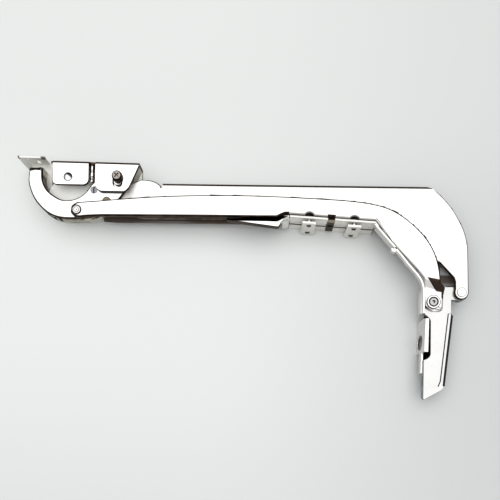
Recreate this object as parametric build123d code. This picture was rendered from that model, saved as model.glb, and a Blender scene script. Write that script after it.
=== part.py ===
# Lid stay with two parallel arms: a fixed head and corner rail on one side, a
# gooseneck head with an adjustable carrier on the other, and two arms between
# them that always stay parallel.  Units are millimetres.  The stay lies flat:
# +X runs along the closed arms towards the fixed head, +Y is the way the
# gooseneck head moves when the stay opens, +Z points out of the front.
# Every pivot axis is parallel to Z.
from build123d import *
import math
import os

os.makedirs("parts", exist_ok=True)

# ---------------------------------------------------------------- driving sizes
FRONT_Z = 24.0          # height of the front arm's face above the resting plane
ARM_T = 2.5             # front arm, flat steel
CHANNEL_T = 2.0         # rear arm, folded steel
CHANNEL_FRONT = 5.2     # depth of the rear arm's front flange below the front face
CHANNEL_BACK = 14.6     # depth of the outer face of its rear flange
BEND_R = 2.8            # outside bend radius of folded steel
GOOSE_D0 = 2.8          # gooseneck, front face depth
GOOSE_D1 = 12.3         # gooseneck, back face depth
HEAD_D0 = 8.0           # fixed head, front face depth
HEAD_D1 = 12.3          # fixed head, back face depth
CARRIER_D0 = 0.5        # carrier, front face depth
CARRIER_D1 = 14.6       # carrier, back face depth
TONGUE_D0 = 5.0         # stepped-down end of the front arm, front face depth
PIN_R = 3.0             # pivot pins
RUN = 0.05              # radial running clearance at the pivots
OPEN_CLEAR = 0.30       # radial clearance at the rear arm's gooseneck pivot
CARRIER_TRAVEL = 2.0    # how far the carrier slides up on its clamping screw
TAIL = 24.0             # deepest depth, the resting plane

# pivots, seen from the front: the front arm runs A to D, the rear arm C to E
A = (-171.56, 189.03)
D = (146.48, 118.43)
LINK = (25.2, 9.5)      # A to C and D to E, equal, so the arms stay parallel
C = (A[0] + LINK[0], A[1] + LINK[1])
E = (D[0] + LINK[0], D[1] + LINK[1])


# ---------------------------------------------------------------- helpers
def z_at(d):
    """Height of a plane at depth d below the front face."""
    return FRONT_Z - d


def path_face(*segs):
    """A flat face from chained segments: L is straight runs, S a smooth curve."""
    edges, first, last = [], None, None
    for kind, pts in segs:
        pts = [tuple(p) for p in pts]
        if last is not None and math.dist(last, pts[0]) > 1e-4:
            edges.append(Line(last, pts[0]))
        if first is None:
            first = pts[0]
        if kind == "L":
            for a, b in zip(pts, pts[1:]):
                edges.append(Line(a, b))
        else:
            edges.append(Spline(*pts))
        last = pts[-1]
    if math.dist(first, last) > 1e-4:
        edges.append(Line(last, first))
    return make_face([e.edge() if hasattr(e, "edge") else e for e in edges])


def round_face(pts, radii):
    """A polygon whose corners are rounded by the radii given, corner by corner."""
    n, edges, ends = len(pts), [], []
    for i in range(n):
        v, p, q = pts[i], pts[i - 1], pts[(i + 1) % n]
        r = radii[i] if isinstance(radii, (list, tuple)) else radii
        if r <= 0:
            ends.append((v, None, v))
            continue
        a = ((p[0] - v[0]), (p[1] - v[1]))
        b = ((q[0] - v[0]), (q[1] - v[1]))
        la, lb = math.hypot(*a), math.hypot(*b)
        a, b = (a[0] / la, a[1] / la), (b[0] / lb, b[1] / lb)
        half = math.acos(max(-1, min(1, a[0] * b[0] + a[1] * b[1]))) / 2
        t = min(r / math.tan(half), 0.49 * la, 0.49 * lb)
        rr = t * math.tan(half)
        s = (a[0] + b[0], a[1] + b[1])
        ls = math.hypot(*s)
        m = rr / math.sin(half) - rr
        ends.append(((v[0] + a[0] * t, v[1] + a[1] * t),
                     (v[0] + s[0] / ls * m, v[1] + s[1] / ls * m),
                     (v[0] + b[0] * t, v[1] + b[1] * t)))
    for i in range(n):
        p, m, q = ends[i]
        if m is not None:
            edges.append(ThreePointArc(p, m, q))
        nxt = ends[(i + 1) % n][0]
        if math.dist(q, nxt) > 1e-4:
            edges.append(Line(q, nxt))
    return make_face([e.edge() for e in edges])


def prism(face, d0, d1):
    """The face pushed from depth d0 to depth d1."""
    return Pos(0, 0, z_at(d1)) * extrude(face, amount=d1 - d0, dir=(0, 0, 1))


def disc(c, r, d0, d1):
    """A round bar along Z about the point c."""
    return Pos(c[0], c[1], z_at((d0 + d1) / 2)) * Cylinder(r, d1 - d0)


def block(x0, x1, y0, y1, d0, d1):
    return Pos((x0 + x1) / 2, (y0 + y1) / 2, z_at((d0 + d1) / 2)) * Box(
        abs(x1 - x0), abs(y1 - y0), abs(d1 - d0))


def soften(part, edges, size, kind="chamfer"):
    """Break or round the edges, all at once or else one by one."""
    edges = list(edges)
    if not edges:
        return part
    f = chamfer if kind == "chamfer" else fillet
    try:
        done = f(ShapeList(edges), size)
        if done.is_valid and len(done.solids()) == len(part.solids()):
            return done
    except Exception:
        pass
    print("edges left sharp:", len(edges), kind, size)
    return part


def round_fold(part, p0, p1, d, r, into, before=1.0, after=15.0):
    """Round the fold that runs from p0 to p1 (left to right) at depth d."""
    length = math.hypot(p1[0] - p0[0], p1[1] - p0[1]) + before + after
    turn = math.degrees(math.atan2(p1[1] - p0[1], p1[0] - p0[0]))
    corner = Polygon((0.4, -0.4 * into), (-r, -0.4 * into), (-r, r * into), (0.4, r * into), align=None)
    corner -= Pos(-r, r * into) * Circle(r)
    cut = Pos(-before, 0, 0) * extrude(Plane.YZ * corner, amount=length)
    return part - Pos(p0[0], p0[1], z_at(d)) * Rot(0, 0, turn) * cut


def front_edges(part, d, tol=1e-3):
    z = z_at(d)
    return [e for e in part.edges()
            if abs(e.bounding_box().min.Z - z) < tol and abs(e.bounding_box().max.Z - z) < tol]


def edges_near(part, point, reach):
    return [e for e in part.edges()
            if (Vector(*point) - e.center()).length < reach]


OUT = {}


def keep(name, part, colour=None):
    OUT[name] = part


# ---------------------------------------------------------------- front arm
arm_face = path_face(
    ("L", [(-177.27, 188.60), (-176.98, 190.55)]),
    ("S", [(-176.98, 190.55), (-176.07, 192.51), (-174.53, 194.14), (-172.20, 195.53), (-168.71, 196.60)]),
    ("S", [(-168.71, 196.60), (-151.15, 198.36), (-124.83, 201.25), (-93.21, 203.95), (-54.53, 205.89), (-10.54, 206.67), (44.08, 205.65), (82.89, 203.28), (103.71, 198.61), (125.32, 185.43), (143.19, 164.74), (149.41, 147.94), (151.08, 136.10)]),
    ("L", [(151.08, 136.10), (136.32, 138.30)]),
    ("S", [(136.32, 138.30), (125.30, 150.57), (111.14, 165.03), (99.45, 179.21), (94.52, 185.13)]),
    ("L", [(94.52, 185.13), (92.15, 187.88), (18.09, 191.49), (11.94, 191.13), (8.46, 189.62), (4.99, 187.76), (-9.96, 187.31), (-62.76, 186.36), (-124.34, 184.89), (-150.73, 184.28), (-163.91, 183.36)]),
    ("S", [(-163.91, 183.36), (-167.85, 182.63), (-171.38, 182.79), (-174.50, 184.10), (-176.50, 186.33), (-177.27, 188.60)]),
)
arm_flat = prism(arm_face, 0, ARM_T)
# clearance notches over the dome heads of the two front rail screws
NOTCH1, NOTCH2 = (33.68, 188.35), (73.62, 186.27)
for n in (NOTCH1, NOTCH2):
    arm_flat -= disc(n, 4.75, -1, ARM_T + 1)
# the end steps down to a tongue that lies on the fixed head
END_L, END_R = (136.32, 138.30), (151.08, 136.10)
STEP_LEN, STEP = 7.6, TONGUE_D0
e_dir = (END_R[0] - END_L[0], END_R[1] - END_L[1])
ang = math.degrees(math.atan2(e_dir[1], e_dir[0])) - 90.0
mid = ((END_L[0] + END_R[0]) / 2, (END_L[1] + END_R[1]) / 2)
k = ARM_T * math.tan(math.atan2(STEP, STEP_LEN) / 2)
prof = [(-1.0, 0), (0, 0), (STEP_LEN, -STEP), (40, -STEP), (40, -STEP - ARM_T),
        (STEP_LEN - k, -STEP - ARM_T), (-k, -ARM_T), (-1.0, -ARM_T)]
prof_face = make_face([Line(a, b).edge() for a, b in zip(prof, prof[1:] + prof[:1])])
step_bar = Rot(90, 0, 0) * extrude(prof_face, amount=20, dir=(0, 0, 1), both=True)
step_bar = Pos(mid[0], mid[1], FRONT_Z) * Rot(0, 0, ang) * step_bar
TONGUE_R = 7.6
TR, TB = 9.3, 7.8        # the tongue reaches further on its right and lower sides
tongue_face = path_face(
    ("L", [END_R, (D[0] + TR, D[1] + 12.6), (D[0] + TR, D[1] - TB + 3.2)]),
    ("S", [(D[0] + TR, D[1] - TB + 3.2), (D[0] + TR - 0.94, D[1] - TB + 0.94), (D[0] + TR - 3.2, D[1] - TB)]),
    ("L", [(D[0] + TR - 3.2, D[1] - TB), (D[0] - 0.6, D[1] - TB)]),
    ("L", [(D[0] - 0.6, D[1] - TB), (D[0] - 4.9, D[1] - 5.8), (D[0] - 7.0, D[1] - 3.0), (D[0] - TONGUE_R, D[1])]),
    ("L", [(D[0] - TONGUE_R, D[1]), END_L, (END_L[0] + 0.6, END_L[1] + 1.6), (END_R[0] - 1.2, END_R[1] + 2.4), END_R]),
)
tongue = step_bar & prism(tongue_face, -1, 12)
# the tongue's right and lower edges are rolled down
rolled = [e for e in front_edges(tongue, TONGUE_D0)
          if e.center().X > D[0] + TR - 2.0 and e.center().Y < D[1] + 6
          or e.center().Y < D[1] - TB + 1.5 and e.center().X > D[0] - 4]
tongue = soften(tongue, rolled, 1.9)
front_arm = arm_flat + tongue
front_arm -= disc(A, PIN_R + RUN, -1, 5)
BUSH_R = 4.4
front_arm -= disc(D, BUSH_R, -1, 12)
keep("front_arm", front_arm)

# flanged bush pressed into the tongue, running on the shoulder bolt
arm_bush = disc(D, 6.2, 3.9, TONGUE_D0) + disc(D, BUSH_R, TONGUE_D0, TONGUE_D0 + ARM_T)
arm_bush = soften(arm_bush, [e for e in front_edges(arm_bush, 3.9)], 0.4, "fillet")
arm_bush -= disc(D, PIN_R + RUN, 3, 9)
arm_bush -= disc(D, 4.05, 3.0, 4.7)
keep("arm_bush", arm_bush)

# ---------------------------------------------------------------- rear arm
TOP_L, TOP_R = (-97.68, 217.79), (138.58, 221.86)
RELIEF = (-97.56, 213.61)      # foot of the relief notch at the fold's end
outer_curve = [(139.33, 220.73), (146.57, 217.20), (153.89, 210.73), (161.56, 201.95), (167.45, 192.67), (171.80, 184.33), (174.53, 176.38), (176.45, 165.74)]
inner_curve = [(151.49, 153.41), (135.11, 164.51), (119.49, 180.10), (101.24, 194.27), (83.23, 199.98)]
front_flange_face = path_face(
    ("L", [(C[0] - 1.0, C[1] + 7.42), (-117.10, 220.07)]),
    ("S", [(-117.10, 220.07), (-109.96, 219.75), (-105.02, 218.65), (-101.49, 216.79), (-99.75, 215.33), (-98.83, 214.28)]),
    ("L", [(-98.83, 214.28), (-98.81, 213.57), RELIEF, TOP_L, TOP_R]),
    ("S", outer_curve),
    ("L", [(176.45, 165.74), (E[0] + 6.5, E[1])]),
    ("L", [(E[0] + 6.5, E[1]), (E[0] - 5.9, E[1]), (165.35, 137.32), (164.27, 140.41), (151.49, 153.41)]),
    ("S", inner_curve),
    ("L", [(83.23, 199.98), (11.91, 199.65), (-28.02, 193.02), (-133.14, 189.63)]),
    ("L", [(-133.14, 189.63), (C[0] + 2, C[1] - 7.2), (C[0] - 1.0, C[1])]),
)
rear_flange_face = path_face(
    ("L", [(C[0] + 0.5, C[1] + 6.4), (-114.45, 205.70), (-107.90, 210.36), RELIEF, TOP_L, TOP_R]),
    ("S", outer_curve),
    ("L", [(176.45, 165.74), (E[0] + 6.5, E[1])]),
    ("L", [(E[0] + 6.5, E[1]), (E[0] - 3.0, E[1] - 0.5), (E[0] - 19.5, E[1] - 0.5), (E[0] - 21.0, E[1] + 1.0), (149.90, 152.35)]),
    ("S", [(149.90, 152.35), (135.05, 166.00), (121.46, 179.24), (107.03, 190.70), (93.75, 193.12)]),
    ("L", [(93.75, 193.12), (86.74, 192.21), (25.06, 193.90), (11.01, 192.60), (-4.71, 188.26), (-25.79, 186.67), (-140.18, 184.77)]),
    ("L", [(-140.18, 184.77), (-151.64, 185.13), (-152.66, 190.03), (C[0] - 4.6, C[1] - 3.6)]),
)
web_face = path_face(("L", [TOP_L, TOP_R,
                            (TOP_R[0] + 0.02, TOP_R[1] - CHANNEL_T),
                            (TOP_L[0] + 0.02, TOP_L[1] - CHANNEL_T)]))
LOBE_C, LOBE_E = 7.5, 6.5
rear_arm = prism(front_flange_face, CHANNEL_FRONT, CHANNEL_FRONT + CHANNEL_T)
rear_arm += disc(C, LOBE_C, CHANNEL_FRONT, CHANNEL_FRONT + CHANNEL_T)
rear_arm += disc(E, LOBE_E, CHANNEL_FRONT, CHANNEL_FRONT + CHANNEL_T)
rear_arm += prism(rear_flange_face, CHANNEL_BACK - CHANNEL_T, CHANNEL_BACK)
rear_arm += disc(C, 6.4, CHANNEL_BACK - CHANNEL_T, CHANNEL_BACK)
rear_arm += disc(E, LOBE_E, CHANNEL_BACK - CHANNEL_T, CHANNEL_BACK)
rear_arm += prism(web_face, CHANNEL_FRONT, CHANNEL_BACK)
rear_arm = round_fold(rear_arm, TOP_L, TOP_R, CHANNEL_FRONT, BEND_R, -1)
rear_arm = round_fold(rear_arm, TOP_L, TOP_R, CHANNEL_BACK, BEND_R, 1)
rear_arm -= disc(C, PIN_R + OPEN_CLEAR, 0, 20)
rear_arm -= disc(E, 3.5 + RUN, 0, 20)
keep("rear_arm", rear_arm)

# flat bar riveted inside the channel
stiff_face = round_face([(-123.61, 190.02), (-106.96, 192.71), (-40.09, 193.82), (-39.92, 188.19), (-106.79, 186.73), (-119.11, 186.80)], [1.5, 1, 0.5, 0.5, 0, 1.5])
arm_stiffener = prism(stiff_face, CHANNEL_FRONT + CHANNEL_T, 10.2)
keep("arm_stiffener", arm_stiffener)

# ---------------------------------------------------------------- gooseneck
goose_face = path_face(
    ("L", [(-203.99, 227.44), (-215.40, 226.57)]),
    ("S", [(-215.40, 226.57), (-216.28, 220.52), (-216.37, 214.31), (-214.85, 208.15), (-211.62, 200.62), (-206.99, 194.20), (-199.71, 187.59), (-191.16, 183.50), (-182.70, 182.24), (-173.84, 182.42)]),
    ("S", [(-173.84, 182.42), (-164.11, 183.15), (-155.32, 185.45), (-148.34, 189.29), (-140.97, 194.83), (-134.00, 201.86)]),
    ("L", [(-134.00, 201.86), (-127.70, 210.56), (-123.49, 218.13), (-118.35, 230.16), (-155.29, 229.42), (-155.03, 220.56)]),
    ("S", [(-155.03, 220.56), (-158.68, 214.96), (-161.42, 211.69), (-163.96, 207.98), (-167.40, 204.33), (-171.75, 201.36), (-177.01, 199.43), (-182.31, 198.74), (-187.65, 199.47), (-192.15, 201.73), (-197.58, 205.56), (-201.45, 210.68), (-203.28, 215.59), (-203.80, 220.89)]),
    ("L", [(-203.80, 220.89), (-203.99, 227.44)]),
)
gooseneck = prism(goose_face, GOOSE_D0, GOOSE_D1)
limb_top = [e for e in front_edges(gooseneck, GOOSE_D0)
            if e.length > 9 and abs(e.center().X - -209.74) < 2 and abs(e.center().Y - 226.92) < 2]
gooseneck = soften(gooseneck, limb_top, 1.9, "fillet")
# thin web that fills the crook behind
crook_face = path_face(
    ("S", [(-200.85, 205.03), (-200.11, 210.47), (-198.40, 213.67), (-195.34, 216.92), (-193.67, 221.48)]),
    ("L", [(-193.67, 221.48), (-193.91, 229.59), (-156.49, 229.34), (-155.81, 206.37), (-169.11, 198.76), (-185.27, 196.48), (-196.16, 198.86), (-200.85, 205.03)]),
)
gooseneck += prism(crook_face, 9.8, GOOSE_D1)
# room for the carrier's web above and for its height stud
CW_Y = 232.73      # outer face of the carrier's web
gooseneck -= block(-197.24, -112.64, CW_Y - 2.35, CW_Y + 9, 0, 20)
STUD_X, STUD_Y, STUD_D = -161.18, 217.52, 6.2
gooseneck -= block(STUD_X - 3.1, STUD_X + 3.1, STUD_Y - 0.6, CW_Y, 1.0, 9.8)
gooseneck -= Pos(STUD_X, STUD_Y - 0.6, z_at(5.4)) * Cylinder(3.1, 8.8)
# fork: a slot that the rear arm's front flange turns in
sx = 0.88
slot_pts = [(-12, 0), (-11, 7), (-4, 11.0), (2, 12.4), (44, 30.0), (46, -34), (-20, -34), (-17.5, -17), (-12.5, -9)]
slot_face = round_face([(C[0] + x * sx, C[1] + y * sx) for x, y in slot_pts], 0)
gooseneck -= prism(slot_face, CHANNEL_FRONT - 0.3, CHANNEL_FRONT + CHANNEL_T + 0.3)
ECC = (-157.76, 208.07)
SCREW = (-136.43, 218.96)
gooseneck -= disc(A, PIN_R, 0, 20)
gooseneck -= disc(C, PIN_R, 0, 20)
gooseneck -= disc(C, 4.05, 0, 3.5)
gooseneck -= disc(ECC, 3.25, 0, 8.3)
gooseneck -= disc(SCREW, 2.5, 0, 20)
keep("gooseneck", gooseneck)

# pivot pins held in the gooseneck
pin_a = disc(A, 3.8, -0.5, -0.1) + disc(A, PIN_R, -0.1, GOOSE_D1)
pin_a = soften(pin_a, front_edges(pin_a, -0.5), 0.2, "fillet")
ringcut = disc(A, 2.9, -1.0, -0.3) - disc(A, 1.5, -1.1, 0)
pin_a -= ringcut
keep("front_arm_pin", pin_a)
pin_c = disc(C, 4.05, GOOSE_D0, 3.5) + disc(C, PIN_R, 3.5, CHANNEL_BACK + 0.1) + disc(C, 4.4, CHANNEL_BACK + 0.1, CHANNEL_BACK + 0.9)
keep("rear_arm_pin", pin_c)

# slotted eccentric that sets the carrier, flush in the gooseneck
ecc = disc(ECC, 3.25, GOOSE_D0, 8.3)
ecc -= Pos(ECC[0], ECC[1], z_at(GOOSE_D0)) * Rot(0, 0, -2) * Box(1.1, 8, 2.4)
keep("slotted_eccentric", ecc)

# ---------------------------------------------------------------- end pad of the gooseneck, cast
PAD_Y0, PAD_Y1 = 234.39, 236.15
PAD_X0, PAD_X1 = -226.03, -201.99
pad = block(PAD_X0, PAD_X1, PAD_Y0, PAD_Y1, 2.0, 21.0)
pad = soften(pad, [e for e in pad.edges() if abs(e.center().X - PAD_X0) < 0.01 or abs(e.center().X - PAD_X1) < 0.01], 0.5, "fillet")
PX0, PX1 = PAD_X0 + 8.0, -199.77
GT = 227.01
pad += block(PX0, PX1, GT - 13.5, PAD_Y0 + 0.1, GOOSE_D1, 15.0)
pad += block(PX0 + 1.5, PX0 + 9.0, GT - 9.0, PAD_Y0 + 0.1, 14.8, TAIL)
pad -= Pos(PAD_X0 + 7.6, (PAD_Y0 + PAD_Y1) / 2, z_at(4.0)) * Rot(90, 0, 0) * Cylinder(1.1, 10)
PAD_HOLE = (PAD_X0 + 15.8, z_at(8.5))
pad -= Pos(PAD_HOLE[0], (PAD_Y0 + PAD_Y1) / 2, PAD_HOLE[1]) * Rot(90, 0, 0) * Cylinder(2.25, 10)
PAD_SCREW = (PX0 + 5.2, GT - 10.6)
keep("end_pad", pad)

# ---------------------------------------------------------------- carrier, folded channel
XL, XR = -194.33, -117.91
YW = CW_Y
GX0, GX1 = -161.62, -156.60
channel = block(XL, XR, YW - 40, YW, CARRIER_D0, CARRIER_D1)
bends = [e for e in channel.edges() if e.length > 50 and abs(e.center().Y - YW) < 0.01]
channel = soften(channel, bends, 2.6, "fillet")
channel -= block(XL - 5, XR + 5, YW - 50, YW - 2.0, CARRIER_D0 + 2.0, CARRIER_D1 - 2.0)
tab1 = round_face([(-194.64, 241.04), (-193.75, 210.92), (-161.76, 211.34), (-162.15, 242.00)], [0, 4.0, 5.2, 0])
tab2 = round_face([(-157.13, 242.15), (-156.06, 206.13), (-129.71, 206.38), (-126.12, 210.28), (-117.88, 229.65), (-115.64, 243.38)], [0, 6.5, 4.5, 5.0, 0, 0])
back1 = round_face([(-189.39, 240.89), (-188.71, 218.02), (-161.24, 217.78), (-161.95, 241.70)], [0, 3, 3, 0])
back2 = round_face([(-156.40, 241.87), (-155.50, 211.52), (-151.49, 209.79), (-125.09, 210.22), (-114.34, 215.82), (-114.62, 243.11)], [0, 4, 3, 3, 2, 0])
web_strip = block(XL, XR + 1.5, YW - 2.2, YW + 1, -1, 20)
web_lug = block(XL - 2.2, XL + 1, YW - 2.0, YW, 2.9, 9.0)
carrier = channel & (prism(tab1, -1, 7) + prism(tab2, -1, 7) + prism(back1, 7, 20) + prism(back2, 7, 20) + web_strip)
carrier += web_lug
carrier -= block(GX0, GX1, YW - 40, YW + 1, -1, 2.9)
# upright slot for the clamping screw
SLOT_W, SLOT_LO, SLOT_HI = 4.1, 213.93, 219.48
slot = block(SCREW[0] - SLOT_W, SCREW[0] + SLOT_W, SLOT_LO, SLOT_HI, -1, 5)
slot += disc((SCREW[0], SLOT_LO), SLOT_W, -1, 5) + disc((SCREW[0], SLOT_HI), SLOT_W, -1, 5)
carrier -= slot
# slot for the screw's shank in the rear tab
carrier -= block(SCREW[0] - 3, SCREW[0] + 3, SCREW[1] - 4.0, SCREW[1] + 1.5, 10, 20)
carrier -= disc((SCREW[0], SCREW[1] - 4.0), 3, 10, 20) + disc((SCREW[0], SCREW[1] + 1.5), 3, 10, 20)
# two plain screw holes through the lid face
LID_HOLES = [-187.79, -129.63]
for x in LID_HOLES:
    carrier -= Pos(x, YW - 1, z_at(7.5)) * Rot(90, 0, 0) * Cylinder(2.25, 8)
DOME = (-180.12, 217.93)
carrier -= disc(DOME, 2.0, -1, 5)
carrier -= Pos(STUD_X, YW - 1, z_at(STUD_D)) * Rot(90, 0, 0) * Cylinder(2.0, 8)
carrier = soften(carrier, [e for e in front_edges(carrier, CARRIER_D0) if e.length > 4 and e.center().Y < YW - 3], 0.3)
keep("carrier", carrier)

# dome-head rivet in the carrier and the guide shoe it holds
dome = disc(DOME, 2.0, CARRIER_D0, 3.6)
cap = Pos(DOME[0], DOME[1], z_at(CARRIER_D0) - 5.9) * Sphere(7.13) & disc(DOME, 4.0, -3, CARRIER_D0)
keep("dome_rivet", dome + cap)
shoe_face = round_face([(DOME[0] - 6.5, DOME[1] - 3.2), (DOME[0] + 6.5, DOME[1] - 3.2), (DOME[0] + 6.5, DOME[1] + 3.2), (DOME[0] - 6.5, DOME[1] + 3.2)], 1.0)
guide = prism(shoe_face, 2.5, 6.8) - disc(DOME, 2.0, 2, 3.6)
keep("guide_shoe", guide)

# threaded stud that sets the carrier's height, seen in the gap between the front tabs
def rod_y(x, d, r, y0, y1):
    return Pos(x, (y0 + y1) / 2, z_at(d)) * Rot(90, 0, 0) * Cylinder(r, abs(y1 - y0))


stud = rod_y(STUD_X, STUD_D, 2.0, YW - 6.0, YW - 0.3)
stud += rod_y(STUD_X, STUD_D, 1.5, STUD_Y + 3.0, YW - 5.5)
stud += rod_y(STUD_X, STUD_D, 2.6, STUD_Y + 3.4, STUD_Y + 5.8)
stud += rod_y(STUD_X, STUD_D, 1.5, STUD_Y, STUD_Y + 3.2)
stud += Pos(STUD_X, STUD_Y, z_at(STUD_D)) * Sphere(2.1)
hexcut = Pos(STUD_X, YW - 0.3, z_at(STUD_D)) * Rot(90, 0, 0) * extrude(RegularPolygon(1.3, 6), amount=2.2, both=True)
stud -= hexcut
keep("height_stud", stud)

# clamping screw, its washer block in the slot and the square nut behind
HEAD_R, HEAD_H = 4.6, 3.2
screw = disc(SCREW, HEAD_R, CARRIER_D0 - 0.3 - HEAD_H, CARRIER_D0 - 0.3)
screw = soften(screw, front_edges(screw, CARRIER_D0 - 0.3 - HEAD_H), 1.5, "fillet")
cross = Pos(SCREW[0], SCREW[1], z_at(CARRIER_D0 - 0.3 - HEAD_H)) * Rot(0, 0, 47) * (Box(5.0, 1.1, 3.6) + Box(1.1, 5.0, 3.6))
screw -= cross
screw += disc(SCREW, 2.5, CARRIER_D0 - 0.3, 17.4)
keep("clamp_screw", screw)
WASH_Y0, WASH_Y1 = SLOT_LO - SLOT_W + CARRIER_TRAVEL + 0.4, SLOT_HI + SLOT_W - 0.4
wash_face = round_face([(SCREW[0] - 3.6, WASH_Y0), (SCREW[0] + 3.6, WASH_Y0), (SCREW[0] + 3.6, WASH_Y1), (SCREW[0] - 3.6, WASH_Y1)], 3.3)
washer = prism(wash_face, 1.0, 2.8) - disc(SCREW, 2.5, 0, 5)
keep("slot_washer", washer)
nut = Pos(SCREW[0], SCREW[1], z_at(15.9)) * Box(8.0, 8.0, 2.0)
nut = soften(nut, [e for e in nut.edges() if abs(e.center().Z - z_at(15.9)) < 0.1], 0.8)
nut -= disc(SCREW, 2.5, 10, 20)
keep("square_nut", nut)

# ---------------------------------------------------------------- fixed head, cast
head_face = path_face(
    ("L", [(139.18, 129.37), (143.26, 133.98), (153.06, 136.34), (158.55, 133.09), (163.93, 133.25), (E[0] - 3, E[1] + 6.2)]),
    ("L", [(E[0] - 3, E[1] + 6.2), (E[0], E[1]), (E[0] - 2.0, E[1] - 6.5)]),
    ("L", [(170.11, 121.58), (163.74, 121.39), (164.11, 109.19), (166.66, 107.83), (161.00, 44.28), (159.58, 43.88)]),
    ("S", [(159.58, 43.88), (158.65, 41.88), (156.82, 40.03)]),
    ("L", [(156.82, 40.03), (142.70, 31.89)]),
    ("S", [(142.70, 31.89), (141.27, 31.66), (140.87, 32.91)]),
    ("L", [(140.87, 32.91), (140.40, 67.01)]),
    ("S", [(140.40, 67.01), (143.59, 68.36), (145.68, 70.40), (146.40, 73.47)]),
    ("L", [(146.40, 73.47), (145.68, 100.83)]),
    ("S", [(145.68, 100.83), (144.96, 103.78), (142.56, 106.22), (139.70, 108.65)]),
    ("L", [(139.70, 108.65), (139.18, 129.37)]),
)
head = prism(head_face, HEAD_D0, HEAD_D1)
head += disc(E, 6.9, HEAD_D0, HEAD_D1)
# broad bevel down the slanted edge, with a fine groove beside it
SLANT_TOP, SLANT_END = (166.66, 107.83), (161.00, 44.28)
slant_len = math.hypot(SLANT_TOP[0] - SLANT_END[0], SLANT_TOP[1] - SLANT_END[1])
slant_turn = math.degrees(math.atan2(SLANT_TOP[1] - SLANT_END[1], SLANT_TOP[0] - SLANT_END[0]))
wedge = Plane.YZ * Polygon((3.3, 0.5), (-0.6, 0.5), (-0.6, -2.75), align=None)
wedge = extrude(wedge, amount=slant_len + 1.0)
head -= Pos(SLANT_END[0], SLANT_END[1], z_at(HEAD_D0)) * Rot(0, 0, slant_turn) * wedge
groove = path_face(("L", [(161.06, 108.92), (161.60, 108.94), (156.22, 48.18), (154.38, 43.55), (153.92, 43.89), (155.68, 48.34)]))
head -= prism(groove, 7.0, HEAD_D0 + 0.25)
# rib behind the slanted edge, down to the resting plane
rib = path_face(("L", [(163.50, 105.40), (165.83, 105.47), (160.39, 46.96), (157.87, 46.88)]))
head += prism(rib, HEAD_D1, TAIL)
left_wall = path_face(("L", [(140.87, 32.91), (140.41, 66.65), (143.06, 68.08), (143.49, 65.76), (144.11, 32.83)]))
head += prism(left_wall, HEAD_D1 - 0.1, 13.8)
head -= disc(D, PIN_R, 0, 30)
head -= disc(E, 3.5, 0, 30)
keep("fixed_head", head)

# shoulder bolt of the front arm, with a hex socket
bolt = disc(D, 3.75, 3.95, 4.60) + disc(D, PIN_R, 4.60, HEAD_D1)
bolt = soften(bolt, front_edges(bolt, 3.95), 0.25, "fillet")
bolt -= Pos(D[0], D[1], z_at(3.95)) * extrude(RegularPolygon(1.75, 6), amount=2.0, both=True)
keep("shoulder_bolt", bolt)
keep("bolt_washer", disc(D, 5.6, TONGUE_D0 + ARM_T + 0.1, HEAD_D0) - disc(D, PIN_R, 0, 20))
# rivet of the rear arm
rivet = disc(E, 4.2, 4.8, 5.1) + disc(E, 3.5, 5.1, CHANNEL_BACK + 0.1) + disc(E, 4.6, CHANNEL_BACK + 0.1, CHANNEL_BACK + 0.9)
rivet -= disc(E, 1.0, 4.0, 5.05)
keep("rear_arm_rivet", rivet)
keep("rivet_washer", disc(E, 5.8, CHANNEL_FRONT + CHANNEL_T + 0.1, HEAD_D0) - disc(E, 3.5, 0, 20))

# ---------------------------------------------------------------- jamb bracket on the fixed head
JX = 138.70
JY0, JY1 = 73.72, 103.63
LIP_D = 4.0                     # depth of the bracket's front lip
jamb = block(JX, JX + 2.0, JY0, JY1, LIP_D, TAIL) + block(JX, JX + 4.3, JY0, JY1, LIP_D, LIP_D + 2.0)
jamb = soften(jamb, [e for e in front_edges(jamb, LIP_D) if e.length > 20 and abs(e.center().X - JX) < 0.01], 2.6, "fillet")
jamb = soften(jamb, [e for e in jamb.edges() if abs(e.length - 2.0) < 0.01 and abs(e.center().X - JX - 1.0) < 0.01 and e.center().Z < 1], 2.5, "fillet")
JAMB_FOOT_Y0, JAMB_FOOT_Y1 = 90.91, JY1 - 2.0
jamb += block(JX + 1.0, JX + 15.0, JAMB_FOOT_Y0, JAMB_FOOT_Y1, HEAD_D1 + 0.02, HEAD_D1 + 2.0)
jamb += block(JX, JX + 2.0, JY0 - 18.5, JY0 + 3, 10.5, 17.0)
JAMB_HOLE = (83.43, 15.0)
jamb -= Pos(JX + 1, JAMB_HOLE[0], z_at(JAMB_HOLE[1])) * Rot(0, 90, 0) * Cylinder(6.8, 5)
BR = [(JX + 6.4, (JAMB_FOOT_Y0 + JAMB_FOOT_Y1) / 2), (JX + 12.0, (JAMB_FOOT_Y0 + JAMB_FOOT_Y1) / 2)]
br = None
for b in BR:
    one = disc(b, 1.6, HEAD_D1 + 0.02, HEAD_D1 + 2.0) + disc(b, 2.6, HEAD_D1 + 2.0, HEAD_D1 + 2.8)
    br = one if br is None else br + one
    jamb -= disc(b, 1.6, 10, 20)
keep("jamb_bracket", jamb)
keep("bracket_rivets", br)


# ---------------------------------------------------------------- corner strips
def strip(pts, t):
    """A thin strip of thickness t that follows the points."""
    left, right = [], []
    n = len(pts)
    for i, p in enumerate(pts):
        a, b = pts[max(i - 1, 0)], pts[min(i + 1, n - 1)]
        v = (b[0] - a[0], b[1] - a[1])
        lv = math.hypot(*v)
        nx, ny = -v[1] / lv, v[0] / lv
        left.append((p[0] + nx * t / 2, p[1] + ny * t / 2))
        right.append((p[0] - nx * t / 2, p[1] - ny * t / 2))
    return left, right


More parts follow.
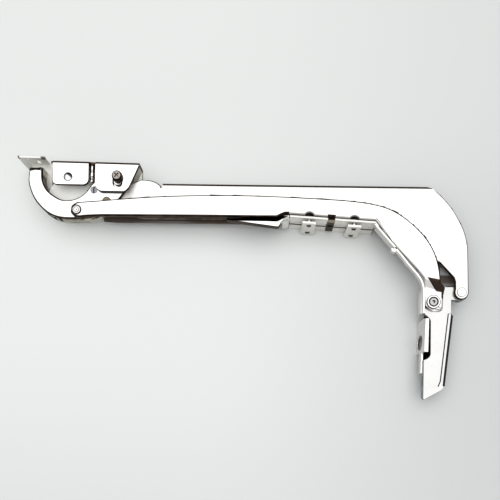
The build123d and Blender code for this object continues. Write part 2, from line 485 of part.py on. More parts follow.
upper = [(93.33, 182.81), (101.81, 173.71), (110.11, 164.60)]
l1, r1 = strip(upper, 1.5)
corner_upper = prism(path_face(("L", l1), ("L", r1[::-1])), 0.9, 8.6)
corner_upper = corner_upper + prism(round_face([(89.08, 186.30), (92.98, 185.80), (95.18, 182.87), (93.82, 181.41), (91.26, 184.34), (88.95, 184.80)], 0.3), 0.9, 6.0)
keep("corner_strip_upper", corner_upper)
lower = [(111.23, 162.69), (115.79, 157.80), (123.92, 148.33), (131.13, 140.42), (134.18, 135.84), (135.81, 131.30), (136.48, 126.73), (137.05, 107.33)]
l2, r2 = strip(lower, 1.5)
corner_lower = prism(path_face(("S", l2[:7]), ("L", l2[6:]), ("L", r2[::-1][:2]), ("S", r2[::-1][1:])), 0.9, 5.4)
corner_lower += block(min(l2[-1][0], r2[-1][0]) - 0.9, max(l2[-1][0], r2[-1][0]) - 0.8, 107.77, 128.49, 5.2, 12.6)
joint_lap = prism(round_face([(107.04, 164.16), (110.92, 164.27), (112.21, 162.37), (110.67, 160.82), (107.63, 161.88)], 0.4), 2.6, 7.2)
keep("corner_strip_lower", corner_lower)
keep("strip_lap", joint_lap - corner_upper - corner_lower)

# ---------------------------------------------------------------- rail plates, clamps and their screws
RAIL = (16.45, 188.15)      # lower front corner of the first plate
RAIL_ANG = -4.28 + 1.7          # the rail runs slightly downhill to the right


def rail_at(part):
    return Pos(RAIL[0], RAIL[1], 0) * Rot(0, 0, RAIL_ANG) * part


def rblock(u0, u1, v0, v1, d0, d1):
    return block(u0, u1, v0, v1, d0, d1)


RT = 2.1                        # plate thickness
LEN1, GAP0, LEN2 = 33.6, 39.9, 76.2
D_IN, D_OUT = 0.5, TAIL


def rail_plate(u0, u1):
    p = rblock(u0, u1, 0, RT, D_IN, D_OUT)
    p = soften(p, [e for e in p.edges() if abs(e.center().Z - z_at(D_IN)) < 0.01 and e.length > 20], 0.35)
    p -= rblock(u0 - 1, u1 + 1, -0.01, 1.1, 8.7, 11.8)
    return p


SCREW_U = [17.3, 57.4]
SCREW_D = [4.6, 18.4]
CLAMP_D1 = 22.6
plate1, plate2 = rail_plate(0, LEN1), rail_plate(GAP0, LEN2)
for u in SCREW_U:
    for d in SCREW_D:
        hole = rod_y(u, d, 2.0, -10, 10)
        plate1 -= hole
        plate2 -= hole
keep("rail_plate_outer", rail_at(plate1))
keep("rail_plate_inner", rail_at(plate2))
link = rblock(LEN1, GAP0, -0.9, 1.5, 3.2, 20.5)
link -= rblock(LEN1 + 1.2, GAP0 - 1.2, -2, 3, 8.7, 11.8)
keep("rail_link", rail_at(link))
clamps = []
for i, u in enumerate(SCREW_U):
    c = rblock(u - 6.1, u + 6.1, -4.6, -2.5, 0.3, CLAMP_D1)
    c = soften(c, [e for e in c.edges() if e.length > 20], 0.6, "fillet")
    c += rblock(u - 2.6, u + 2.6, -2.6, -0.02, 9.6, 14.5)
    for d in SCREW_D:
        c -= rod_y(u, d, 2.0, -10, 10)
    c -= rblock(u - 2.6, u + 2.6, -0.02, 3, 9, 15)
    clamps.append(c)
keep("clamp_plate_outer", rail_at(clamps[0]))
keep("clamp_plate_inner", rail_at(clamps[1]))
screws = None
for u in SCREW_U:
    for d in SCREW_D:
        s = rod_y(u, d, 2.0, -4.9, RT)
        ball = Pos(u, RT - 2.6, z_at(d)) * Sphere(4.8)
        s += ball & rod_y(u, d, 4.0, RT, RT + 4.0)
        s -= Pos(u, -4.9, z_at(d)) * Rot(90, 0, 0) * extrude(RegularPolygon(1.2, 6), amount=1.2, both=True)
        screws = s if screws is None else screws + s
keep("rail_screws", rail_at(screws))

# ramp at the free end of the rail
ramp_face = path_face(
    ("L", [(-39.87, 184.68), (-27.52, 184.43), (5.36, 184.70)]),
    ("S", [(5.36, 184.70), (7.69, 186.62), (10.26, 189.16), (13.32, 190.05), (16.04, 190.22)]),
    ("L", [(16.04, 190.22), (16.10, 188.28)]),
    ("S", [(16.10, 188.28), (12.60, 187.47), (10.37, 185.46), (8.68, 182.77), (7.35, 180.17), (5.79, 179.07)]),
    ("L", [(5.79, 179.07), (-39.85, 184.06)]),
)
ramp = prism(ramp_face, 0.6, 5.8)
ramp += prism(path_face(("L", [(9.83, 185.80), (10.82, 187.95), (12.90, 189.07), (16.07, 189.51), (16.14, 187.04), (12.99, 186.25)])), 5.0, 20.0)
keep("end_ramp", ramp)

# seats between touching pieces of the fixed side
corner_upper -= OUT["rail_plate_inner"]
keep("corner_strip_upper", corner_upper)
ramp -= OUT["rail_plate_outer"]
keep("end_ramp", ramp)
keep("fixed_head", head - OUT["jamb_bracket"] - OUT["corner_strip_lower"])
keep("strip_lap", OUT["strip_lap"] - OUT["corner_strip_upper"])

# ---------------------------------------------------------------- centre the whole and write
boxes = [p.bounding_box() for p in OUT.values()]
cx = (min(b.min.X for b in boxes) + max(b.max.X for b in boxes)) / 2
cy = (min(b.min.Y for b in boxes) + max(b.max.Y for b in boxes)) / 2
z0 = min(b.min.Z for b in boxes)
for name, part in OUT.items():
    export_step(Pos(-cx, -cy, -z0) * part, f"parts/{name}.step")
print("shift", round(cx, 3), round(cy, 3), round(z0, 3))
print("size", [round(max(getattr(b.max, k) for b in boxes) - min(getattr(b.min, k) for b in boxes), 2) for k in "XYZ"])
points = {"A": (*A, FRONT_Z), "C": (*C, FRONT_Z), "D": (*D, FRONT_Z), "E": (*E, FRONT_Z),
          "lid_hole_1": (LID_HOLES[0], YW, z_at(7.5)), "lid_hole_2": (LID_HOLES[1], YW, z_at(7.5)),
          "jamb_hole": (JX, JAMB_HOLE[0], z_at(JAMB_HOLE[1])),
          "pad_hole": (PAD_HOLE[0], PAD_Y1, PAD_HOLE[1]), "pad_hole_low": (PAD_HOLE[0], PAD_Y0, PAD_HOLE[1])}
for label, p in points.items():
    print("point", label, round(p[0] - cx, 3), round(p[1] - cy, 3), round(p[2] - z0, 3))
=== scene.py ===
import bpy
import math
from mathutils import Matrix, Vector


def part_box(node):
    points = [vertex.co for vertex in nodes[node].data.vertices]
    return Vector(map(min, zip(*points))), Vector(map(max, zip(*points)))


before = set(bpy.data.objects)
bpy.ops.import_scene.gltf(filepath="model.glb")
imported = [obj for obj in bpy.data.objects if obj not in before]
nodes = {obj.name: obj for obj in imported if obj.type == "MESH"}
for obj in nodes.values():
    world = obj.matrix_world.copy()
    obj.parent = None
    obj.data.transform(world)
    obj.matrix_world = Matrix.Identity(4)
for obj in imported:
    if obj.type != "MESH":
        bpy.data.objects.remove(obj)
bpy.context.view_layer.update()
scene = bpy.context.scene


# ---------------------------------------------------------------- node helpers
class Tree:
    """A small shorthand for building a material's nodes."""

    def __init__(self, name):
        self.mat = bpy.data.materials.new(name)
        self.mat.use_nodes = True
        self.nt = self.mat.node_tree
        self.nt.nodes.clear()
        self.out = self.nt.nodes.new("ShaderNodeOutputMaterial")
        self.bsdf = self.nt.nodes.new("ShaderNodeBsdfPrincipled")
        self.link(self.bsdf.outputs["BSDF"], self.out.inputs["Surface"])
        self.coord = self.nt.nodes.new("ShaderNodeTexCoord")

    def link(self, a, b):
        self.nt.links.new(a, b)

    def put(self, socket, value):
        if hasattr(value, "is_linked") or isinstance(value, bpy.types.NodeSocket):
            self.link(value, socket)
        else:
            socket.default_value = value

    def math(self, op, a, b=0.0, c=0.0, clamp=False):
        n = self.nt.nodes.new("ShaderNodeMath")
        n.operation = op
        n.use_clamp = clamp
        for socket, value in zip(n.inputs, (a, b, c)):
            self.put(socket, value)
        return n.outputs[0]

    def remap(self, value, lo, hi, out_lo=0.0, out_hi=1.0, smooth=True):
        n = self.nt.nodes.new("ShaderNodeMapRange")
        n.interpolation_type = "SMOOTHSTEP" if smooth else "LINEAR"
        self.put(n.inputs["Value"], value)
        for key, v in (("From Min", lo), ("From Max", hi), ("To Min", out_lo), ("To Max", out_hi)):
            n.inputs[key].default_value = v
        return n.outputs[0]

    def mix(self, factor, a, b):
        n = self.nt.nodes.new("ShaderNodeMix")
        n.data_type = "RGBA"
        self.put(n.inputs[0], factor)
        for socket, value in ((n.inputs[6], a), (n.inputs[7], b)):
            if isinstance(value, tuple):
                socket.default_value = (*value, 1.0)
            else:
                self.link(value, socket)
        return n.outputs[2]

    def stretch(self, scale):
        n = self.nt.nodes.new("ShaderNodeMapping")
        n.inputs["Scale"].default_value = scale
        self.link(self.coord.outputs["Object"], n.inputs["Vector"])
        return n.outputs[0]

    def noise(self, scale, detail=3.0, rough=0.5, vector=None):
        n = self.nt.nodes.new("ShaderNodeTexNoise")
        n.inputs["Scale"].default_value = scale
        n.inputs["Detail"].default_value = detail
        n.inputs["Roughness"].default_value = rough
        self.link(vector or self.coord.outputs["Object"], n.inputs["Vector"])
        return n.outputs["Fac"]

    def speck(self, scale, vector=None):
        n = self.nt.nodes.new("ShaderNodeTexVoronoi")
        n.inputs["Scale"].default_value = scale
        self.link(vector or self.coord.outputs["Object"], n.inputs["Vector"])
        return n.outputs["Distance"]

    def bump(self, height, strength, distance):
        n = self.nt.nodes.new("ShaderNodeBump")
        n.inputs["Strength"].default_value = strength
        n.inputs["Distance"].default_value = distance
        self.link(height, n.inputs["Height"])
        self.link(n.outputs["Normal"], self.bsdf.inputs["Normal"])

    def upright(self):
        """How far a face looks along the pivots' axis, 0 on a cut edge and 1 on a flat face."""
        n = self.nt.nodes.new("ShaderNodeSeparateXYZ")
        self.link(self.coord.outputs["Normal"], n.inputs[0])
        return self.math("ABSOLUTE", n.outputs[2])

    def xyz(self):
        n = self.nt.nodes.new("ShaderNodeSeparateXYZ")
        self.link(self.coord.outputs["Object"], n.inputs[0])
        return n.outputs


def metal(name, face, edge, rough, edge_rough=0.45, lo=0.72, hi=0.95, wave=0.02, grain=0.02, brush=None, fringe=(0.32, 0.13, 0.08), fringe_amount=0.5, pits=0.0, wall=None, deep=None, deep_z=0.0135):
    """Plated or cast metal: clear on its flat faces; darker and duller on cut edges and bends,
    partly the cut metal's own duller tone and partly painted shade laid on by the face's direction.

    wall is the colour of the cut sides between two broken edges, likewise partly painted shade, and deep is
    the unplated matt colour laid on whatever lies below deep_z: painted shade inside the rear arm's channel,
    and a paler copy standing as painted light in the gooseneck's and carrier's crook.
    """
    t = Tree(name)
    t.bsdf.inputs["Metallic"].default_value = 1.0
    flat = t.upright()
    broad = t.noise(38.0, 3.0, 0.5)
    fine = t.noise(1400.0, 2.0, 0.6)
    streak = t.noise(260.0, 2.0, 0.5, t.stretch(brush or (1.0, 1.0, 1.0)))
    # the face colour, faintly clouded by the plating bath
    cloud = t.math("MULTIPLY_ADD", broad, 0.6, t.math("MULTIPLY", streak, 0.4))
    dull = tuple(c * (1 - wave * 3) for c in face)
    colour = t.mix(t.remap(cloud, 0.3, 0.7), dull, face)
    # the edge colour, from warm brown to near black: painted shade over the cut metal's own duller tone
    edge_dark = tuple(c * (0.35 if max(edge) < 0.3 else 0.88) for c in edge)
    side = t.mix(t.remap(t.noise(120.0, 3.0, 0.6), 0.35, 0.65), edge_dark, edge)
    if wall:
        wall_dark = tuple(c * 0.6 for c in wall)
        cut = t.mix(t.remap(t.noise(90.0, 3.0, 0.6), 0.35, 0.65), wall_dark, wall)
        side = t.mix(t.remap(flat, 0.06, 0.22), cut, side)
    share = t.remap(flat, lo, hi)
    colour = t.mix(share, side, colour)
    # a warm brown fringe where a face turns into its edge, part of the painted edge shade
    if fringe_amount:
        band = t.math("MULTIPLY", t.remap(flat, lo + 0.3 * (hi - lo), hi - 0.004), t.remap(flat, 0.9985, hi - 0.002))
        colour = t.mix(t.math("MULTIPLY", band, fringe_amount), colour, fringe)
    if deep:
        low_down = t.math("MULTIPLY", share, t.remap(t.xyz()[2], deep_z + 0.0004, deep_z))
        colour = t.mix(low_down, colour, deep(t) if callable(deep) else deep)
        t.link(t.math("MULTIPLY_ADD", low_down, -1.0, 1.0), t.bsdf.inputs["Metallic"])
    if pits:
        dots = t.remap(t.speck(520.0), 0.05, 0.22)
        colour = t.mix(t.math("MULTIPLY", t.math("SUBTRACT", 1.0, dots), pits), colour, tuple(c * 0.55 for c in face))
    t.link(colour, t.bsdf.inputs["Base Color"])
    r_face = t.math("MULTIPLY_ADD", streak, 0.12, t.math("MULTIPLY_ADD", fine, 0.05, rough - 0.085))
    r = t.math("ADD", t.math("MULTIPLY", share, r_face), t.math("MULTIPLY", t.math("SUBTRACT", 1.0, share), edge_rough))
    if deep:
        r = t.math("MULTIPLY_ADD", low_down, 0.35, r)
    t.link(r, t.bsdf.inputs["Roughness"])
    height = t.math("MULTIPLY_ADD", fine, 0.5, streak)
    t.bump(height, grain, 0.0004)
    return t


def channel_shade_streaks(t):
    """Painted shade inside a folded channel: dark, with long pale streaks of painted highlight."""
    lines = t.noise(95.0, 3.0, 0.55, t.stretch((0.05, 1.0, 1.0)))
    return t.mix(t.remap(lines, 0.44, 0.62), (0.065, 0.045, 0.033), (0.42, 0.43, 0.44))


def repaint(tree, share, colour):
    """Lay another colour over a finished material, by a share from 0 to 1."""
    was = tree.bsdf.inputs["Base Color"].links[0].from_socket
    tree.link(tree.mix(share, was, colour), tree.bsdf.inputs["Base Color"])


def shade_rings(tree, node, rings):
    """Rings painted around a pin's axis, mostly dark painted shade on the rims, gaps and dimples of heads and bushes:
    radius, half width (mm), colour and strength of each.
    """
    low, high = (Vector(v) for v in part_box(node))
    mid = (low + high) / 2
    x, y, z = tree.xyz()
    dx = tree.math("SUBTRACT", x, mid.x)
    dy = tree.math("SUBTRACT", y, mid.y)
    reach = tree.math("SQRT", tree.math("ADD", tree.math("MULTIPLY", dx, dx), tree.math("MULTIPLY", dy, dy)))
    wobble = tree.math("MULTIPLY_ADD", tree.noise(420.0, 2.0, 0.5), 0.0002, reach)
    for radius, half, colour, strength in rings:
        off = tree.math("ABSOLUTE", tree.math("SUBTRACT", wobble, radius / 1000 + 0.0001))
        near = tree.remap(off, half * 1.15 / 1000, half * 0.85 / 1000)
        repaint(tree, tree.math("MULTIPLY", near, strength), colour)
    return tree


# ---------------------------------------------------------------- materials
nickel = metal("nickel_sheet_bright", (0.95, 0.945, 0.93), (0.05, 0.036, 0.028), 0.17, lo=0.972, hi=0.9992, brush=(0.15, 1.0, 1.0), wall=(0.16, 0.115, 0.08), fringe_amount=0.3)
# the rear arm's nickel is a greyer, rougher copy of the front arm's: the grey is painted shade, for the arm lying in
# shade
nickel_rear = metal("nickel_sheet_rear", (0.775, 0.77, 0.752), (0.055, 0.04, 0.03), 0.30, lo=0.972, hi=0.9992, wave=0.03, grain=0.04, brush=(0.2, 1.0, 1.0), wall=(0.15, 0.11, 0.08), fringe_amount=0.25, deep=channel_shade_streaks)
# below deep_z the gooseneck and the carrier take a paler matt copy of their nickel: painted light lifting the shade in
# the crook under the carrier's tab
nickel_goose = metal("nickel_sheet_gooseneck", (0.88, 0.875, 0.86), (0.055, 0.042, 0.032), 0.2, lo=0.972, hi=0.9992, wave=0.02, brush=(1.0, 0.3, 1.0), wall=(0.50, 0.47, 0.40), deep=(0.93, 0.93, 0.90), deep_z=0.015, fringe_amount=0.3)
carrier_skin = metal("nickel_carrier", (0.90, 0.895, 0.88), (0.045, 0.034, 0.026), 0.18, lo=0.965, hi=0.999, brush=(0.2, 1.0, 1.0), deep=(0.97, 0.97, 0.93), fringe_amount=0.3)
rivet_skin = metal("nickel_rivet", (0.88, 0.875, 0.86), (0.05, 0.045, 0.04), 0.2, lo=0.90, hi=0.995, fringe_amount=0.0)
satin = metal("nickel_satin", (0.86, 0.85, 0.83), (0.78, 0.765, 0.735), 0.28, lo=0.45, hi=0.97, wave=0.015, grain=0.05, fringe_amount=0.0)
head_skin = metal("head_satin", (0.66, 0.657, 0.645), (0.035, 0.034, 0.034), 0.34, lo=0.90, hi=0.99, wave=0.035, grain=0.08, fringe_amount=0.1, pits=0.12, wall=(0.34, 0.36, 0.40))
cast = metal("zinc_cast", (0.84, 0.83, 0.79), (0.78, 0.77, 0.72), 0.42, edge_rough=0.5, lo=0.3, hi=0.9, wave=0.03, grain=0.15, fringe_amount=0.0, pits=0.10)
steel = metal("screw_steel", (0.72, 0.715, 0.70), (0.09, 0.08, 0.07), 0.2, lo=0.8, hi=0.99, grain=0.03, fringe_amount=0.0)
bolt_skin = metal("bolt_steel", (0.42, 0.42, 0.42), (0.05, 0.046, 0.042), 0.24, lo=0.90, hi=0.995, grain=0.03, fringe_amount=0.0)
turned = metal("turned_nickel", (0.84, 0.835, 0.82), (0.62, 0.61, 0.58), 0.2, edge_rough=0.25, lo=0.1, hi=0.7, grain=0.02, fringe_amount=0.0)
dome_skin = metal("dome_polished", (0.86, 0.86, 0.85), (0.05, 0.05, 0.052), 0.12, edge_rough=0.2, lo=0.80, hi=0.975, grain=0.01, fringe_amount=0.0)
ramp_skin = metal("nickel_ramp", (0.88, 0.875, 0.86), (0.06, 0.045, 0.036), 0.2, lo=0.97, hi=0.999, brush=(0.2, 1.0, 1.0), wall=(0.07, 0.055, 0.045), fringe_amount=0.3)
chrome = metal("screw_steel_polished", (0.80, 0.80, 0.79), (0.72, 0.72, 0.71), 0.10, edge_rough=0.12, lo=0.1, hi=0.5, grain=0.01, fringe_amount=0.0)
dark = metal("steel_dark", (0.24, 0.25, 0.27), (0.05, 0.05, 0.05), 0.3, lo=0.7, hi=0.98, grain=0.05, fringe_amount=0.0)
streaky = metal("stiffener_steel", (0.36, 0.38, 0.42), (0.20, 0.16, 0.13), 0.25, lo=0.8, hi=0.99, wave=0.08, grain=0.04, brush=(0.1, 1.0, 1.0), fringe_amount=0.0)
pin_skin = metal("dark_pin", (0.16, 0.135, 0.10), (0.06, 0.05, 0.035), 0.32, lo=0.7, hi=0.98, grain=0.05, fringe_amount=0.2)

# painted shade in rings: the rims of the pin, bush, bolt and rivet heads, the pin's and rivet's centre dimples, and the
# gap round the pin head on the front arm
SHADE_DARK = (0.03, 0.026, 0.022)
pin_ring = shade_rings(metal("nickel_pin_ringed", (0.90, 0.895, 0.88), (0.05, 0.045, 0.04), 0.2, lo=0.80, hi=0.97, fringe_amount=0.0), "front_arm_pin",
                  [(3.65, 0.55, SHADE_DARK, 0.95), (2.2, 0.33, SHADE_DARK, 0.85), (0.0, 0.75, (0.22, 0.19, 0.17), 0.95)])
shade_rings(nickel, "front_arm_pin", [(4.1, 0.4, SHADE_DARK, 0.95)])
bush_ring = shade_rings(metal("nickel_bush_ringed", (0.90, 0.895, 0.88), (0.05, 0.045, 0.04), 0.2, lo=0.80, hi=0.97, fringe_amount=0.0), "arm_bush",
                   [(6.05, 0.6, SHADE_DARK, 0.95), (4.15, 0.45, SHADE_DARK, 0.95)])
bolt_ring = shade_rings(bolt_skin, "shoulder_bolt", [(3.7, 0.55, SHADE_DARK, 0.95)])
rivet_ring = shade_rings(metal("nickel_rivet_ringed", (0.88, 0.875, 0.86), (0.05, 0.045, 0.04), 0.22, lo=0.80, hi=0.97, fringe_amount=0.0), "rear_arm_rivet",
                    [(4.1, 0.45, (0.10, 0.095, 0.09), 0.8), (2.6, 0.3, (0.2, 0.19, 0.18), 0.5), (0.0, 0.6, (0.3, 0.29, 0.28), 0.5)])
# the rail's plates: a scribed dark seam along the middle of their height
seamed = metal("zinc_cast_seamed", (0.86, 0.85, 0.81), (0.84, 0.83, 0.78), 0.42, edge_rough=0.5, lo=0.3, hi=0.9, wave=0.03, grain=0.15, fringe_amount=0.0, pits=0.10)
x, y, z = seamed.xyz()
seam = seamed.math("ABSOLUTE", seamed.math("SUBTRACT", seamed.math("MULTIPLY_ADD", seamed.noise(60.0, 2.0, 0.5), 0.0006, z), 0.0107))
repaint(seamed, seamed.remap(seam, 0.0015, 0.001), (0.06, 0.03, 0.02))

# the clamping screw's cross recess is painted brown
screw = metal("screw_steel_recessed", (0.82, 0.815, 0.80), (0.05, 0.045, 0.04), 0.2, lo=0.88, hi=0.995, grain=0.03, fringe_amount=0.15)
low, high = (Vector(v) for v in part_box("clamp_screw"))
centre = (low + high) / 2
x, y, z = screw.xyz()
deep = screw.math("LESS_THAN", z, high.z - 0.00025)
reach = screw.math("POWER", screw.math("ADD", screw.math("POWER", screw.math("SUBTRACT", x, centre.x), 2.0), screw.math("POWER", screw.math("SUBTRACT", y, centre.y), 2.0)), 0.5)
inside = screw.math("LESS_THAN", reach, 0.00275)
recess = screw.math("MULTIPLY", deep, inside)
was = screw.bsdf.inputs["Base Color"].links[0].from_socket
screw.link(screw.mix(recess, was, (0.30, 0.17, 0.07)), screw.bsdf.inputs["Base Color"])

# round the cross recess a brown annulus, and on the head's rounded rim a near-black ring of painted shade
shade_rings(screw, "clamp_screw", [(2.1, 1.1, (0.10, 0.065, 0.045), 0.72), (4.0, 0.75, (0.015, 0.012, 0.010), 0.97)])

# painted shade: the folds are painted dark right across their bend
low, high = (Vector(v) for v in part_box("carrier"))
x, y, z = carrier_skin.xyz()
repaint(carrier_skin, carrier_skin.remap(y, high.y - 0.0029, high.y - 0.0026), (0.05, 0.032, 0.022))
x, y, z = nickel_rear.xyz()
line = nickel_rear.math("MULTIPLY_ADD", x, 0.01722, 0.085214)
over = nickel_rear.remap(nickel_rear.math("SUBTRACT", y, line), -0.0028, -0.0025)
span = nickel_rear.math("MULTIPLY", nickel_rear.math("GREATER_THAN", x, -0.0742), nickel_rear.math("LESS_THAN", x, 0.1625))
repaint(nickel_rear, nickel_rear.math("MULTIPLY", over, span), (0.045, 0.03, 0.02))
# the rear arm's end is matt where the crook opens onto it
x, y, z = nickel_rear.xyz()
matt = nickel_rear.math("MULTIPLY", nickel_rear.remap(x, -0.084, -0.110), nickel_rear.math("GREATER_THAN", y, 0.05))
was = nickel_rear.bsdf.inputs["Roughness"].links[0].from_socket
nickel_rear.link(nickel_rear.math("MAXIMUM", was, nickel_rear.math("MULTIPLY", matt, 0.75)), nickel_rear.bsdf.inputs["Roughness"])

# painted light: the arm's lower edge is painted as bright as its face where it runs along the rail's plates, in place
# of the painted edge shade
x, y, z = nickel.xyz()
along = nickel.math("MAXIMUM",
                    nickel.math("MULTIPLY", nickel.math("GREATER_THAN", x, 0.0395), nickel.math("LESS_THAN", x, 0.0735)),
                    nickel.math("MULTIPLY", nickel.math("GREATER_THAN", x, 0.0805), nickel.math("LESS_THAN", x, 0.1145)))
repaint(nickel, nickel.math("MULTIPLY", along, nickel.remap(y, 0.064, 0.062)), (0.90, 0.895, 0.88))
# the end ramp: painted shade at its thin end, and a painted highlight towards its far end
x, y, z = ramp_skin.xyz()
repaint(ramp_skin, ramp_skin.remap(x, 0.006, -0.010), (0.07, 0.055, 0.045))
repaint(ramp_skin, ramp_skin.remap(x, 0.0318, 0.0328), (0.84, 0.83, 0.80))

# beyond the rail's corner the painted edge shade stays only on the upper half of the arm's rolled edge; the rest is
# painted bright
x, y, z = nickel.xyz()
inner = nickel.math("MULTIPLY_ADD", nickel.math("SUBTRACT", x, 0.1177), 0.736, nickel.math("MULTIPLY", nickel.math("SUBTRACT", y, 0.05206), 0.677))
outer_half = nickel.math("MULTIPLY", nickel.remap(inner, 0.0012, 0.0009), nickel.math("GREATER_THAN", x, 0.1145))
repaint(nickel, outer_half, (0.86, 0.855, 0.84))
# the fixed head's broad bevel is painted near black from end to end: a painted dark reflection
x, y, z = head_skin.xyz()
across = head_skin.math("MULTIPLY_ADD", head_skin.math("SUBTRACT", x, 0.184725), -0.99606, head_skin.math("MULTIPLY", head_skin.math("SUBTRACT", y, -0.089569), 0.08871))
along = head_skin.math("MULTIPLY_ADD", head_skin.math("SUBTRACT", x, 0.184725), 0.08871, head_skin.math("MULTIPLY", head_skin.math("SUBTRACT", y, -0.089569), 0.99606))
bevel_band = head_skin.math("MULTIPLY", head_skin.remap(across, 0.0031, 0.0028), head_skin.math("MULTIPLY", head_skin.math("GREATER_THAN", along, -0.0005), head_skin.math("LESS_THAN", along, 0.064302)))
repaint(head_skin, bevel_band, (0.012, 0.011, 0.011))

# painted shade: the polished dome is painted darker towards its upper right
low, high = (Vector(v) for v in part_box("dome_rivet"))
x, y, z = dome_skin.xyz()
lean = dome_skin.math("MULTIPLY_ADD", dome_skin.math("SUBTRACT", x, (low.x + high.x) / 2), 0.6, dome_skin.math("MULTIPLY", dome_skin.math("SUBTRACT", y, (low.y + high.y) / 2), 0.8))
repaint(dome_skin, dome_skin.math("MULTIPLY", dome_skin.remap(lean, 0.0002, 0.0015), 0.97), (0.035, 0.035, 0.038))

# the end pad: painted shade on two corners of its front edge
pad_skin = metal("zinc_cast_pad", (0.84, 0.83, 0.79), (0.66, 0.655, 0.62), 0.42, edge_rough=0.5, lo=0.3, hi=0.9, wave=0.03, grain=0.15, fringe_amount=0.0, pits=0.10)
low, high = (Vector(v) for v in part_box("end_pad"))
x, y, z = pad_skin.xyz()
ends = pad_skin.math("MAXIMUM", pad_skin.remap(x, low.x + 0.0022, low.x + 0.0012), pad_skin.remap(x, high.x - 0.0065, high.x - 0.005))
front = pad_skin.remap(z, high.z - 0.0028, high.z - 0.0016)
repaint(pad_skin, pad_skin.math("MULTIPLY", pad_skin.math("MULTIPLY", ends, front), 0.9), (0.04, 0.03, 0.022))

for tree in (cast, seamed, pad_skin):
    tree.bsdf.inputs["Metallic"].default_value = 0.55

ASSIGN = {
    "front_arm": nickel, "rear_arm": nickel_rear, "gooseneck": nickel_goose, "carrier": carrier_skin, "end_ramp": ramp_skin,
    "arm_bush": bush_ring, "arm_stiffener": streaky, "front_arm_pin": pin_ring, "slot_washer": carrier_skin, "bolt_washer": satin,
    "rear_arm_rivet": rivet_ring, "rivet_washer": satin, "jamb_bracket": satin, "corner_strip_upper": satin,
    "corner_strip_lower": satin, "strip_lap": satin, "rail_link": pin_skin,
    "end_pad": pad_skin, "guide_shoe": cast, "rail_plate_outer": seamed, "rail_plate_inner": seamed,
    "clamp_plate_outer": cast, "clamp_plate_inner": cast,
    "fixed_head": head_skin,
    "clamp_screw": screw, "square_nut": steel, "dome_rivet": dome_skin, "height_stud": turned, "shoulder_bolt": bolt_ring,
    "bracket_rivets": steel, "rail_screws": steel,
    "slotted_eccentric": dark, "rear_arm_pin": pin_skin,
}
for name, tree in ASSIGN.items():
    obj = nodes[name]
    if obj.material_slots:
        for s in obj.material_slots:
            s.material = tree.mat
    else:
        obj.data.materials.append(tree.mat)

# ---------------------------------------------------------------- broken edges on the stamped and cast parts, in mm
EDGES = {"fixed_head": 0.35, "end_ramp": 0.8, "jamb_bracket": 0.3,
         "corner_strip_upper": 0.15, "corner_strip_lower": 0.15, "rail_plate_outer": 0.25, "rail_plate_inner": 0.25,
         "clamp_plate_outer": 0.3, "clamp_plate_inner": 0.3, "end_pad": 0.25, "slotted_eccentric": 0.3, "rear_arm_pin": 0.25,
         "carrier": 0.15, "slot_washer": 0.3}
# the big stampings are rolled over on their front side only: width, height of the faces, and the fold's own band left out
FRONTS = {"front_arm": (1.9, (24.0, 19.0), None),
          "gooseneck": (1.6, (21.2,), None),
          "rear_arm": (1.2, (18.8,), (-0.0745, 0.0839, 0.168, 0.0881))}


def break_edges(obj, width, group=None):
    weld = obj.modifiers.new("weld", "WELD")
    weld.merge_threshold = 2e-6
    plane = obj.modifiers.new("plane", "DECIMATE")
    plane.decimate_type = "DISSOLVE"
    plane.angle_limit = math.radians(0.2)
    bev = obj.modifiers.new("bevel", "BEVEL")
    bev.width = width / 1000
    bev.segments = 3
    if group:
        bev.limit_method = "VGROUP"
        bev.vertex_group = group.name
    else:
        bev.limit_method = "ANGLE"
        bev.angle_limit = math.radians(27)
    bev.use_clamp_overlap = False
    bev.harden_normals = True


for name, width in EDGES.items():
    break_edges(nodes[name], width)
def outer_loop(obj, height):
    """The vertices around the outside of the flat face at a height (mm), without those around its holes."""
    mesh, to_world = obj.data, obj.matrix_world
    spots = [to_world @ v.co for v in mesh.vertices]
    keys = [tuple(round(c * 1e5) for c in spot) for spot in spots]
    count = {}
    for poly in mesh.polygons:
        ring = list(poly.vertices)
        if any(abs(spots[i].z * 1000 - height) > 0.02 for i in ring):
            continue
        for i, j in zip(ring, ring[1:] + ring[:1]):
            edge = tuple(sorted((keys[i], keys[j])))
            if edge[0] != edge[1]:
                count[edge] = count.get(edge, 0) + 1
    joined = {}
    for (i, j), n in count.items():
        if n == 1:
            joined.setdefault(i, []).append(j)
            joined.setdefault(j, []).append(i)
    best, wanted, seen = 0, set(), set()
    for start in sorted(joined):
        if start in seen:
            continue
        loop, todo = [], [start]
        seen.add(start)
        while todo:
            here = todo.pop()
            loop.append(here)
            for other in joined[here]:
                if other not in seen:
                    seen.add(other)
                    todo.append(other)
        span = max(k[0] for k in loop) - min(k[0] for k in loop)
        if span > 2000:
            wanted.update(loop)
            best = span
        elif span > best:
            wanted, best = set(loop), span
    return [(i, spots[i]) for i, k in enumerate(keys) if k in wanted]


for name, (width, heights, fold) in FRONTS.items():
    obj = nodes[name]
    picked = []
    for height in heights:
        for i, v in outer_loop(obj, height):
            if fold and fold[0] < v.x < fold[2]:
                line = fold[1] + (fold[3] - fold[1]) * (v.x - fold[0]) / (fold[2] - fold[0])
                if v.y > line - 0.003:
                    continue
            picked.append(i)
    group = obj.vertex_groups.new(name="front")
    group.add(picked, 1.0, "REPLACE")
    break_edges(obj, width, group)

# ---------------------------------------------------------------- floor
bpy.ops.mesh.primitive_grid_add(x_subdivisions=2, y_subdivisions=2, size=8.0, location=(0, 0, -0.00015))
floor = bpy.context.object
floor.name = "floor"
f = Tree("floor_paper")
f.bsdf.inputs["Roughness"].default_value = 0.75
f.bsdf.inputs["Specular IOR Level"].default_value = 0.2
x, y, z = f.xyz()
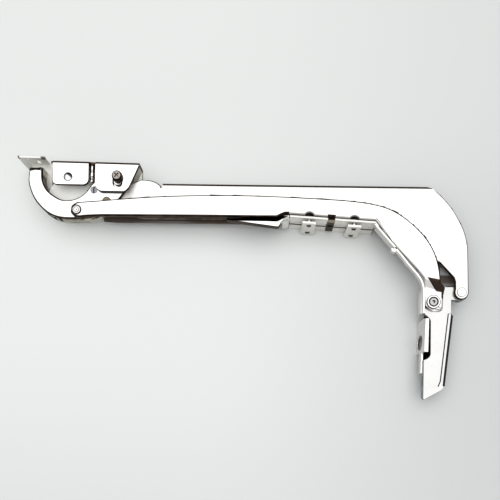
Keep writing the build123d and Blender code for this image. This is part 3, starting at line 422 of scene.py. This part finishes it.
# the floor is painted darker towards +x, towards -y and towards +y: painted shade for the overhead light's falloff; the
# fine mottling is its own
away = f.remap(x, -0.05, 0.26)
down = f.remap(y, -0.05, -0.30)
tone = f.mix(away, (0.85, 0.865, 0.855), (0.68, 0.695, 0.69))
tone = f.mix(f.math("MULTIPLY", down, 0.6), tone, (0.72, 0.74, 0.735))
tone = f.mix(f.math("MULTIPLY", f.remap(y, 0.02, 0.18), 0.6), tone, (0.78, 0.785, 0.775))
tone = f.mix(f.math("MULTIPLY", f.noise(900.0, 2.0, 0.5), 0.03), tone, (0.80, 0.80, 0.80))
f.link(tone, f.bsdf.inputs["Base Color"])
f.bump(f.noise(1500.0, 2.0, 0.5), 0.03, 0.0002)
floor.data.materials.append(f.mat)


# ---------------------------------------------------------------- light
def soft_light(name, place, target, size_x, size_y, radiance, colour=(1, 1, 1)):
    data = bpy.data.lights.new(name, "AREA")
    data.shape = "RECTANGLE"
    data.size, data.size_y = size_x, size_y
    data.energy = radiance * math.pi * size_x * size_y
    data.color = colour
    obj = bpy.data.objects.new(name, data)
    scene.collection.objects.link(obj)
    obj.location = place
    obj.rotation_euler = (Vector(target) - Vector(place)).to_track_quat("-Z", "Y").to_euler()
    return obj


soft_light("overhead", (-0.15, 0.30, 1.15), (-0.15, 0.30, 0.0), 2.5, 2.1, 1.10)

world = bpy.data.worlds.new("studio")
scene.world = world
world.use_nodes = True
nt = world.node_tree
nt.nodes.clear()
out = nt.nodes.new("ShaderNodeOutputWorld")
bg = nt.nodes.new("ShaderNodeBackground")
coord = nt.nodes.new("ShaderNodeTexCoord")
sep = nt.nodes.new("ShaderNodeSeparateXYZ")
ramp = nt.nodes.new("ShaderNodeValToRGB")
ramp.color_ramp.elements[0].position = 0.0
ramp.color_ramp.elements[0].color = (0.20, 0.19, 0.18, 1)
ramp.color_ramp.elements[1].position = 1.0
ramp.color_ramp.elements[1].color = (0.62, 0.62, 0.62, 1)
mid = ramp.color_ramp.elements.new(0.30)
mid.color = (0.44, 0.43, 0.42, 1)
nt.links.new(coord.outputs["Generated"], sep.inputs[0])
nt.links.new(sep.outputs[2], ramp.inputs[0])
nt.links.new(ramp.outputs[0], bg.inputs[0])
fill = nt.nodes.new("ShaderNodeBackground")
fill.inputs[0].default_value = (0.42, 0.425, 0.425, 1)
path = nt.nodes.new("ShaderNodeLightPath")
blend = nt.nodes.new("ShaderNodeMixShader")
nt.links.new(path.outputs["Is Diffuse Ray"], blend.inputs[0])
nt.links.new(bg.outputs[0], blend.inputs[1])
nt.links.new(fill.outputs[0], blend.inputs[2])
# what stands behind the floor's edge: a pale backdrop, brighter towards the floor
drop = nt.nodes.new("ShaderNodeBackground")
pale = nt.nodes.new("ShaderNodeValToRGB")
pale.color_ramp.elements[0].color = (0.80, 0.81, 0.805, 1)
pale.color_ramp.elements[1].color = (0.62, 0.635, 0.63, 1)
nt.links.new(sep.outputs[2], pale.inputs[0])
nt.links.new(pale.outputs[0], drop.inputs[0])
seen = nt.nodes.new("ShaderNodeMixShader")
nt.links.new(path.outputs["Is Camera Ray"], seen.inputs[0])
nt.links.new(blend.outputs[0], seen.inputs[1])
nt.links.new(drop.outputs[0], seen.inputs[2])
nt.links.new(seen.outputs[0], out.inputs[0])

# ---------------------------------------------------------------- camera
cam_data = bpy.data.cameras.new("camera")
cam = bpy.data.objects.new("camera", cam_data)
scene.collection.objects.link(cam)
scene.camera = cam
cam_data.sensor_width = 36.0
cam_data.lens = 33.14
cam_data.shift_x = -0.03
cam_data.shift_y = 0.36
cam_data.clip_start = 0.01
cam.location = (0.023725, -0.133849, 0.429)
cam.rotation_euler = (0.0, 0.0, math.radians(1.7))
cam_data.dof.use_dof = False

scene.view_settings.view_transform = "Standard"
scene.view_settings.look = "None"
scene.view_settings.exposure = 0.0
scene.view_settings.gamma = 1.0
